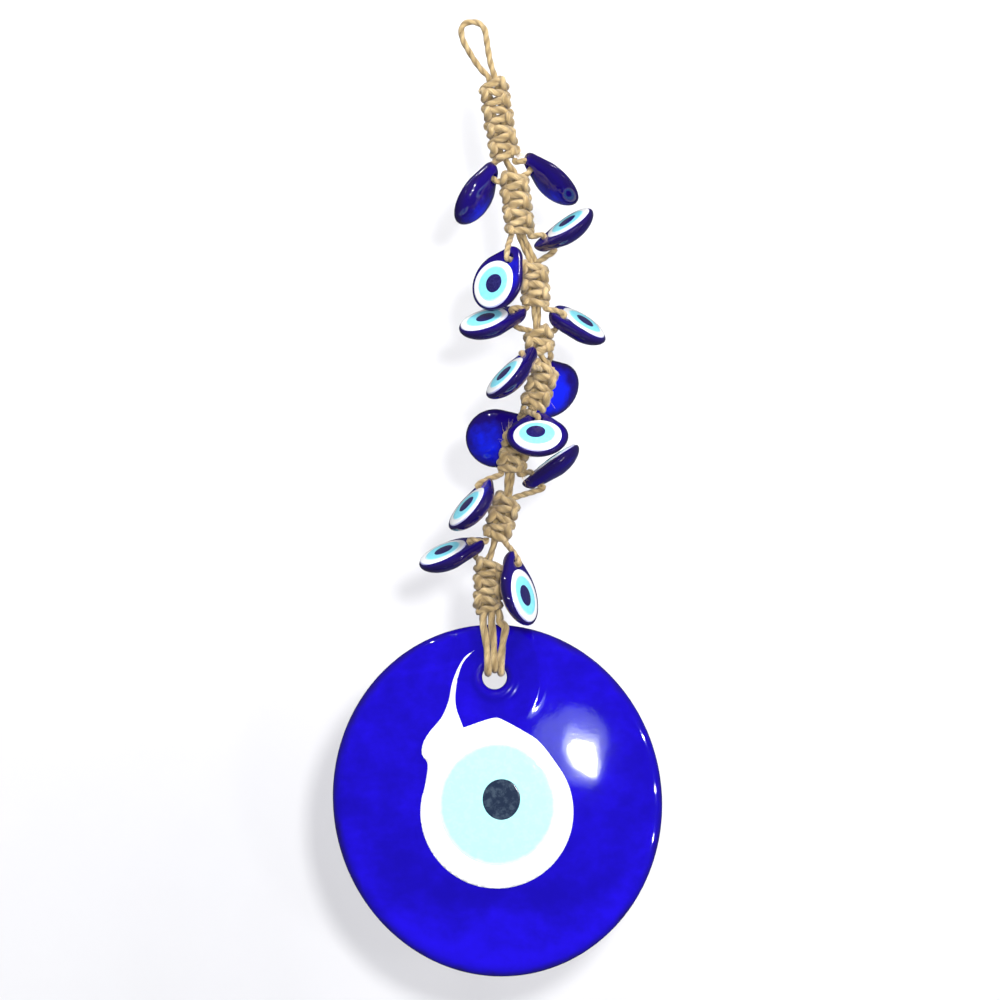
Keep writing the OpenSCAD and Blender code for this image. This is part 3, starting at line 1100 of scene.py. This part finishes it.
@dataclass
class EyeCord:
    """The cord that carries one small eye: out of the knot above, through the bore, into the knot below."""

    eye: SmallEye
    plan: StrapPlan
    plies: PlyProfile
    finishes: Finishes
    radius: float = 1.05

    def route(self) -> list:
        """Points of the cord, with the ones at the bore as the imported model's cord has them."""
        hang = self.eye.hang
        at = self.eye.at()
        foot, top = self.plan.foot(hang.stretch), self.plan.top(hang.stretch + 1)
        side = math.copysign(1, hang.hole[0] if abs(hang.hole[0]) > 1.6 else -hang.hole[0] + 0.1)
        out = foot + (side * 3.0, -1.2, 0.9)
        leave = foot + (side * 3.3, -1.0, -0.5)
        near = np.array(at @ Vector((0, 0, 2.7)))
        behind = 0.45 * self.eye.thick + self.radius
        root = top - (0, 0, 1.6)
        hole = np.array(at @ Vector((0, 0, 0)))
        return [
            out, leave, 0.5 * (leave + near) + (side * 0.3, -0.5, 0.2), near,
            np.array(at @ Vector((0, 0, 1.2))), hole, np.array(at @ Vector((0, 0, -0.6 * behind))),
            np.array(at @ Vector((0.06 * behind, 0, -behind))), root + 0.3 * (hole - root) - (0, 0, 1), root,
        ]

    def build(self) -> bpy.types.Object:
        """Makes the cord.

        Returns:
            The piece.
        """
        line = flow(self.route(), 0.35)
        name = f"eye_cord_{self.eye.number:02d}"
        mesh = self.plies.sweep(name, line, self.radius, start_turn=0.7 * self.eye.number, lay=5.4)
        piece = shown(mesh, name, self.finishes.jute)
        k = self.eye.hang.stretch
        foot = self.plan.foot(k)
        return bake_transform(piece, f"strap_{k}", f"strap_{k + 1}", start=tuple((foot + (0, 0, 0.6)) * MM),
                        end=tuple((foot - (0, 0, 1.4)) * MM))


# ---- The disc ----


@dataclass
class Disc:
    """The large glass eye: cobalt disc, white layer with its flame, pale ring and dark drop."""

    finishes: Finishes
    half_w: float = 55.0
    half_h: float = 59.0
    tilt: float = 10.0
    rim_t: float = 6.0
    rim_w: float = 6.2
    foot_r: float = 2.7
    thick: float = 9.0
    middle: Pair = (8.2, -259.2)
    back_y: float = 3.7
    hole: Pair = (-1.0, 41.3)
    hole_r: float = 4.1
    hollow_r: float = 13.4
    hollow_depth: float = 1.6
    iris: Oval = (0.0, -0.8, 19.5, 20.5)
    drop: Oval = (1.3, 0.8, 6.4, 7.0)

    def oval(self, x: np.ndarray, z: np.ndarray) -> np.ndarray:
        """Share of the way from the disc's middle to its outline."""
        a = math.radians(self.tilt)
        u = x * math.cos(a) + z * math.sin(a)
        v = z * math.cos(a) - x * math.sin(a)
        return np.hypot(u / self.half_w, v / self.half_h)

    def outline(self, angle: np.ndarray) -> np.ndarray:
        """Distance from the hole's middle to the outline in each direction."""
        return far_edge(angle, 5.0, 140.0, lambda x, z: self.oval(self.hole[0] + x, self.hole[1] + z) <= 1)

    def relief(self, x: np.ndarray, z: np.ndarray) -> np.ndarray:
        """Height of the disc's front over its flat back, without its round rim.

        Args:
            x: Across, from the disc's middle.
            z: Up, from the disc's middle.

        Returns:
            The heights.
        """
        dome = self.rim_t + (self.thick - self.rim_t) * (1 - np.clip(self.oval(x, z) / 0.95, 0, 1.02) ** 2.2)
        dx, dz = x - self.hole[0], z - self.hole[1]
        wide = self.hollow_r - 2.2 * smooth_share(dz, 2.0, 14.0)
        aside = np.hypot(dx, np.minimum(dz, 0) * 0.88)
        valley = 1 - smooth_share(aside / wide, 0.50, 1.06)
        bank = np.exp(-(((aside / wide - 1.13) / 0.10) ** 2)) * smooth_share(dz, -16, -2)
        near = np.hypot(dx, dz)
        lip = np.exp(-(((near - 6.3) / 1.35) ** 2))
        seam_z = 41.0 + 0.18 * (x + 40) + 0.0045 * (x + 24) ** 2
        seam = smooth_share(z - seam_z, -1.1, 1.1) * smooth_share(-x, 8.5, 14.0) * smooth_share(x, -44, -30)
        return dome - self.hollow_depth * valley + 0.35 * bank + 0.75 * lip - 0.45 * seam

    def rimmed(self, x: np.ndarray, z: np.ndarray) -> np.ndarray:
        """Height of the front with its round rim."""
        off = np.clip((1 - self.oval(x, z)) * 0.5 * (self.half_w + self.half_h), 0, None)
        share = (1 - (1 - np.clip(off / 5.2, 0, 1)) ** 2.6) ** (1 / 2.1)
        return self.foot_r + (self.relief(x, z) - self.foot_r) * share

    def glass(self) -> bpy.types.Mesh:
        """The cobalt glass, spun round its hole and drawn out to its outline."""
        foot_r, rim_w = self.foot_r, self.rim_w
        rings = [("lip", a) for a in np.linspace(math.pi / 2, 0.15, 6)]
        rings += [("front", s) for s in np.linspace(0, 1, 66)[:-1] ** 1.15]
        rings += [("rim", off) for off in rim_w * (1 - np.sin(np.linspace(0, math.pi / 2, 15)))]
        rings += [("under", foot_r * (1 - math.cos(a))) for a in np.linspace(0, math.pi / 2, 7)[1:]]
        rings += [("back", s) for s in np.linspace(0.92, 0.0, 14)]
        rings += [("wall", s) for s in (0.04, 0.3, 0.55)]
        kinds, shares = map(np.array, zip(*rings))
        bm = spun_rings(len(rings), 264, True)
        soft = 1.5

        def law(ring: np.ndarray, angle: np.ndarray) -> np.ndarray:
            """Places the rings from the hole's lip over the front and back to the hole's wall."""
            kind, share = kinds[ring], shares[ring]
            far = self.outline(angle)
            start = self.hole_r + soft
            r = np.select(
                [kind == "lip", kind == "front", kind == "rim", kind == "under", kind == "back"],
                [start - soft * np.sin(share), start + share * (far - rim_w - start), far - share,
                 far - share, self.hole_r + 0.4 + share * (far - foot_r - self.hole_r - 0.4)],
                self.hole_r,
            )
            x, z = self.hole[0] + r * np.cos(angle), self.hole[1] + r * np.sin(angle)
            front = self.rimmed(x, z)
            lip_h = front - soft * (1 - np.cos(share))
            under_h = foot_r - np.sqrt(np.maximum(foot_r**2 - (foot_r - share) ** 2, 0))
            wall_h = 0.4 + share * (self.relief(x, z) - soft - 0.4)
            h = np.select([kind == "lip", kind == "under", kind == "back", kind == "wall"],
                          [lip_h, under_h, np.zeros(r.shape), wall_h], front)
            return np.column_stack([x, z, h])

        lay_out(bm, law)
        return mesh_of(bm, "disc_cobalt")

    def oval_layer(self, name: str, size: Oval, rise: float, soft: float) -> bpy.types.Mesh:
        """A round layer of the eye that follows the dome.

        Args:
            name: The mesh's name.
            size: Its middle and its two half widths.
            rise: How far it stands over the glass.
            soft: Width of its rounded edge.

        Returns:
            The mesh, in the disc's own place.
        """
        x0, z0, a, b = size
        rings = [(s, rise) for s in np.linspace(0, 1 - soft / a, 14)]
        rings += [(1 - soft / a * (1 - math.sin(t)), rise - (rise + 0.05) * (1 - math.cos(t)))
                  for t in np.linspace(0.25, math.pi / 2, 6)]
        rings += [(1.0, -0.8), (0.0, -0.8)]
        table = np.array(rings)
        bm = spun_rings(len(rings), 120, False)

        def law(ring: np.ndarray, angle: np.ndarray) -> np.ndarray:
            """Places the rings on the dome, a little out of round."""
            share, height = table[ring].T
            wave = 1 + 0.006 * np.sin(2 * angle + 1) + 0.005 * np.sin(3 * angle)
            x, z = x0 + share * a * wave * np.cos(angle), z0 + share * b * wave * np.sin(angle)
            return np.column_stack([x, z, self.relief(x, z) + height])

        lay_out(bm, law)
        return mesh_of(bm, name)

    def white_line(self) -> np.ndarray:
        """Outline of the white layer: round, drawn to a low point, with its flame on the left."""
        turn = np.radians(np.linspace(35, -205, 41))
        round_part = np.column_stack([-0.2 + 25.5 * np.cos(turn), -3.5 + 25.5 * np.sin(turn)])
        flame = [(-23.3, 12.3), (-25.2, 15.7), (-24.8, 19.6), (-22.5, 23.4), (-18.7, 28), (-16.4, 33.4),
                 (-15.3, 38.8), (-13.7, 43.4), (-11, 48), (-7.6, 50.4)]
        inner = [(-8.4, 49.8), (-11.8, 45.7), (-13.7, 38.8), (-13.9, 31.9), (-11.4, 24.6)]
        crown = [(-11.4, 24.6), (-6.4, 26.4), (-1, 27.9), (2, 27.1), (8.5, 23.6), (14.3, 19.6)]
        lines = [np.vstack([crown, round_part[:-1], flame]), np.array(inner)]
        flat = [flow(np.column_stack([line, np.zeros(len(line))]), 0.75)[:, :2] for line in lines]
        return np.vstack([flat[0], flat[1][:-1]])

    def white(self) -> bpy.types.Mesh:
        """The white layer: its outline filled, cut fine, given a rounded edge and laid on the dome."""
        bm = bmesh.new()
        outline = [bm.verts.new((x, z, 0)) for x, z in self.white_line()]
        edges = [bm.edges.new(pair) for pair in zip(outline, outline[1:] + outline[:1])]
        bmesh.ops.triangle_fill(bm, use_beauty=True, use_dissolve=False, edges=edges)
        bmesh.ops.recalc_face_normals(bm, faces=bm.faces)
        if sum(f.normal.z for f in bm.faces) < 0:
            bmesh.ops.reverse_faces(bm, faces=bm.faces)
        for axis in ((1, 0, 0), (0, 1, 0)):
            for at in np.arange(-30, 54, 1.5):
                bmesh.ops.bisect_plane(bm, geom=[*bm.verts, *bm.edges, *bm.faces], dist=1e-4,
                                       plane_co=Vector(axis) * float(at), plane_no=axis)
        bmesh.ops.remove_doubles(bm, verts=bm.verts, dist=0.16)
        bmesh.ops.dissolve_degenerate(bm, dist=1e-4, edges=bm.edges)
        flat = np.array([v.co[:2] for v in bm.verts])
        line = self.white_line()
        ends = np.roll(line, -1, axis=0) - line
        share = np.clip(np.einsum("ijk,jk->ij", flat[:, None] - line, ends) / (ends**2).sum(1), 0, 1)
        inside = np.linalg.norm(flat[:, None] - line - share[..., None] * ends, axis=2).min(1)
        rise = 0.05 + 0.13 * np.sqrt(1 - (1 - np.clip(inside / 2.2, 0, 1)) ** 2)
        for vert, height in zip(bm.verts, self.relief(flat[:, 0], flat[:, 1]) + rise):
            vert.co.z = float(height)
        grown = bmesh.ops.extrude_face_region(bm, geom=list(bm.faces), use_keep_orig=True)
        for v in [g for g in grown["geom"] if isinstance(g, bmesh.types.BMVert)]:
            v.co.z -= 0.7
        bmesh.ops.recalc_face_normals(bm, faces=bm.faces)
        return mesh_of(bm, "disc_milk")

    def dress(self, mesh: bpy.types.Mesh, rim: Law) -> None:
        """Stores what the finishes read, then puts the mesh in its place, in metres.

        Args:
            mesh: A mesh in the disc's own place, in millimetres.
            rim: Gives each point's rim share.
        """
        co = np.array([v.co for v in mesh.vertices])
        x, z = co[:, 0], co[:, 1]
        # Painted light and shade: a bright band along the lower rim, a bright patch low down, a dark band
        # just above it, and painted shade round the hole.
        glow = (0.42 + 0.30 * np.exp(-(((self.oval(x, z) - 0.93) / 0.09) ** 2)) * smooth_share(-z, 0, 40)
                + 0.25 * np.exp(-(((x + 5) / 26) ** 2 + ((z + 44) / 12) ** 2))
                - 0.30 * np.exp(-(((x - 2) / 30) ** 2 + ((z + 31) / 5) ** 2))
                - 0.25 * (1 - smooth_share(np.hypot(x - self.hole[0], z - self.hole[1]), 5, 12)))
        place = Matrix((
            (1, 0, 0, self.middle[0]), (0, 0, -1, self.back_y), (0, 1, 0, self.middle[1]), (0, 0, 0, 1),
        ))
        dress(mesh, rim(x, z), glow, co, place)

    def white_rim(self, x: np.ndarray, z: np.ndarray) -> np.ndarray:
        """Rim share of the white layer: highest on its outline, 0 well inside."""
        line = self.white_line()
        near = np.linalg.norm(np.column_stack([x, z])[:, None] - line, axis=2).min(1)
        return 0.9 - 0.9 * np.clip(near / 4.0, 0, 1)

    def ring_rim(self, size: Oval) -> Law:
        """A rule for the rim share of an oval layer."""
        return lambda x, z: np.hypot((x - size[0]) / size[2], (z - size[1]) / size[3])

    def build(self) -> list[bpy.types.Object]:
        """Makes the disc's four pieces.

        Returns:
            The pieces.
        """
        f = self.finishes
        ice = self.oval_layer("disc_ice", self.iris, 0.32, 0.5)
        slate = self.oval_layer("disc_slate", self.drop, 0.45, 0.4)
        parts = (
            (self.glass(), self.oval, f.disc, Slot.COBALT, "disc_glass"),
            (self.white(), self.white_rim, f.milk, Slot.MILK, "disc_white"),
            (ice, self.ring_rim(self.iris), f.ice, Slot.ICE, "disc_iris"),
            (slate, self.ring_rim(self.drop), f.slate, Slot.SLATE, "disc_pupil"),
        )
        made = []
        for mesh, rim, finish, slot, node in parts:
            self.dress(mesh, rim)
            piece = shown(mesh, mesh.name, finish)
            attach(piece, "disc")
            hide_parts(node)
            made.append(piece)
        return made


# ---- Loose fibres ----


@dataclass
class Fuzz:
    """Loose fibres that stand off the cords."""

    finishes: Finishes
    thickness: float = 0.05
    per_mm: float = 1.1
    seed: int = 21

    def hairs(self, line: np.ndarray, radius: float, chance: np.random.Generator) -> list[np.ndarray]:
        """Seeds fibres along one cord.

        Args:
            line: The cord's centreline.
            radius: Its radius.
            chance: The source of chance.

        Returns:
            The fibres' points.
        """
        length = np.linalg.norm(np.diff(line, axis=0), axis=1).sum()
        made = []
        for _ in range(int(length * self.per_mm)):
            i = int(chance.integers(1, len(line) - 1))
            along = line[i + 1] - line[i - 1]
            along /= np.linalg.norm(along)
            out = np.cross(along, chance.normal(size=3))
            out /= np.linalg.norm(out) + 1e-9
            reach = chance.gamma(2.0, 0.42)
            lean = chance.normal(0, 1.1)
            root = line[i] + out * radius * 0.8
            bend = np.cross(along, out) * chance.normal(0, 0.45)
            made.append(np.array([
                root,
                root + (out * 0.45 + along * lean * 0.4) * reach + bend * reach * 0.2,
                root + (out * 0.75 + along * lean * 0.95) * reach + bend * reach * 0.8,
            ]))
        return made

    def tuft(self, at: Sequence[float], way: Sequence[float], count: int, length: float,
             chance: np.random.Generator) -> list[np.ndarray]:
        """A frayed end: fibres from one point that spread along one way."""
        made = []
        for _ in range(count):
            aim = np.asarray(way, float) + chance.normal(0, 0.30, 3)
            reach = length * chance.uniform(0.45, 1.1)
            root = np.asarray(at, float) + chance.normal(0, 0.22, 3)
            tip = root + aim * reach + chance.normal(0, 0.3, 3)
            made.append(np.array([root, root + aim * reach * 0.5, tip]))
        return made

    def build(self, name: str, fibres: list[np.ndarray], body: str) -> bpy.types.Object:
        """Makes fibres into one piece on a body.

        Args:
            name: The piece's name.
            fibres: Their points, in millimetres.
            body: The body that it rides on.

        Returns:
            The piece.
        """
        curve = curve_of(name, [fibre * MM for fibre in fibres])
        curve.bevel_depth = self.thickness * MM
        curve.bevel_resolution = 0
        for spline in curve.splines:
            spline.points.foreach_set("radius", np.linspace(1, 0.35, len(spline.points)))
        mesh = swept_mesh(curve)
        set_points(mesh, "strand", "FLOAT_VECTOR", np.full((len(mesh.vertices), 3), (1.1, 0.3, 0.0)))
        piece = shown(mesh, name, self.finishes.jute)
        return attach(piece, body)


# Frayed ends by stretch: place, way, number of fibres and their length
TUFTS = {
    0: (((13.6, -1.6, -43.0), (0.9, -0.15, -0.25), 34, 4.2),),
    4: (((19.2, -2.6, -127.2), (0.6, -0.3, -0.8), 18, 2.6),),
    5: (((11.4, -4.2, -139.2), (0.05, -0.4, 0.9), 44, 5.6),
        ((15.6, -2.8, -149.0), (0.5, -0.3, -0.8), 26, 4.0)),
    6: (((9.4, -2.5, -171.5), (-0.3, -0.4, 0.8), 20, 3.2),),
    7: (((6.6, -2.8, -195.5), (0.1, -0.5, -0.8), 22, 3.4),),
}


# ---- Setting ----


@dataclass
class Studio:
    """Wall, floor, soft lights and the camera."""

    centre: Triple = (9.03, 0.0, -158.65)
    frame_w: float = 334.35
    distance: float = 1600.0
    wall_y: float = 215.0
    floor_z: float = -372.0

    def camera(self) -> None:
        """A long lens straight in front of the hanging."""
        data = bpy.data.cameras.new("camera")
        data.sensor_width = 36.0
        data.lens = 36.0 * self.distance / self.frame_w
        data.clip_start, data.clip_end = 0.05, 20.0
        made = linked("camera", data)
        made.location = Vector((self.centre[0], -self.distance, self.centre[2])) * MM
        made.rotation_euler = (math.pi / 2, 0, 0)
        bpy.context.scene.camera = made

    def sheet(self, name: str, at: Sequence[float], turn: float, tone: Colour) -> None:
        """A wide pale sheet that only the camera sees, so that it throws no light back."""
        bm = bmesh.new()
        bmesh.ops.create_grid(bm, x_segments=2, y_segments=2, size=3.0)
        bmesh.ops.rotate(bm, verts=bm.verts, cent=(0, 0, 0), matrix=Matrix.Rotation(turn, 3, "X"))
        bmesh.ops.translate(bm, verts=bm.verts, vec=Vector(at) * MM)
        made = linked(name, mesh_of(bm, name))
        made.data.materials.append(Backdrop(name, tone).build())
        made.visible_diffuse = made.visible_glossy = made.visible_transmission = made.visible_shadow = False

    def lamp(self, name: str, at: Sequence[float], size: float, power: float, tone: Colour = (1, 1, 1),
             aim: Sequence[float] = (9.0, 0.0, -180.0), mirrored: bool = True) -> None:
        """A round soft light that looks at the hanging.

        Args:
            name: Its name.
            at: Its place, in millimetres.
            size: Its width, in millimetres.
            power: Its power, in watts.
            tone: Its colour.
            aim: What it looks at.
            mirrored: Whether the glass mirrors it.
        """
        data = bpy.data.lights.new(name, "AREA")
        data.shape = "DISK"
        data.size, data.energy, data.color = size * MM, power, tone
        made = linked(name, data)
        made.visible_glossy = mirrored
        made.location = Vector(at) * MM
        made.rotation_euler = (Vector(aim) - Vector(at)).to_track_quat("-Z", "Y").to_euler()

    def build(self) -> None:
        """Makes the wall, the floor, the lights and the surrounding tone."""
        self.sheet("wall", (0, self.wall_y, -200), math.pi / 2, (0.67, 0.67, 0.68))
        self.sheet("floor", (0, self.wall_y - 2900, self.floor_z), 0.0, (0.93, 0.93, 0.93))
        self.lamp("key", (430, -760, 620), 380, 6.6, (1.0, 0.985, 0.955), mirrored=False)
        self.lamp("fill_left", (-900, -700, 120), 900, 4.0, (0.95, 0.96, 1.0), mirrored=False)
        self.lamp("fill_right", (950, -600, -250), 900, 3.4, mirrored=False)
        self.lamp("fill_front", (100, -1300, 500), 700, 2.6, mirrored=False)
        self.lamp("front", (78, -1500, -82), 62, 13.0, aim=(0, 0, -160), mirrored=False)
        self.lamp("top", (0, -250, 900), 700, 4.4, mirrored=False)
        self.lamp("behind", (200, 900, 300), 900, 8.0, mirrored=False)
        self.lamp("window", (242, -1400, -228), 46, 0.9, aim=(39, 0, -239))
        self.lamp("window_glow", (232, -1410, -216), 100, 0.22, (0.8, 0.9, 1.0), aim=(39, 0, -239))
        self.lamp("window_haze", (220, -1420, -205), 190, 0.22, (0.75, 0.85, 1.0), aim=(39, 0, -239))
        for x in (-420, -250, -130, 30, 210, 330):
            self.lamp(f"spot_{x + 500}", (x, -560, 760 + 0.3 * x), 24, 0.72)
        for z in (-420, -250, -60):
            self.lamp(f"side_spot_{z + 500}", (620, -420, z), 24, 0.55)
        world = bpy.data.worlds.new("studio")
        world.use_nodes = True
        inputs = world.node_tree.nodes["Background"].inputs
        inputs["Color"].default_value = (0.88, 0.88, 1.0, 1.0)
        inputs["Strength"].default_value = 0.12
        bpy.context.scene.world = world
        bpy.context.scene.view_settings.view_transform = "Standard"


def main() -> None:
    """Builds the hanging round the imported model, in order."""
    logging.basicConfig(level=logging.INFO, format="%(message)s")
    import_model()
    studio = Studio()
    studio.camera()
    finishes = Finishes()
    plies = PlyProfile()
    plan = StrapPlan()
    made = [NailLoop(plies, finishes).build()]
    made += Sling(plan, plies, finishes).build()
    knots = Knots(plan, plies, finishes)
    made += knots.build()
    made += Core(plan, plies, finishes).build()
    for number, hang in enumerate(HANGS, 1):
        eye = SmallEye(number, hang, plan, finishes)
        made += eye.build()
        made.append(EyeCord(eye, plan, plies, finishes).build())
    made += Disc(finishes).build()
    plies.remove()
    fuzz = Fuzz(finishes)
    chance = np.random.default_rng(fuzz.seed)
    for k, lines in knots.lines.items():
        fibres = [h for line in lines for h in fuzz.hairs(line, knots.radius, chance)]
        for at, way, count, length in TUFTS.get(k, ()):
            fibres += fuzz.tuft(at, way, count, length, chance)
        made.append(fuzz.build(f"fuzz_{k}", fibres, f"strap_{k}"))
    for piece in made:
        LOG.info("%s: %d faces", piece.name, len(piece.data.polygons))
    studio.build()


if __name__ == "__main__":
    main()
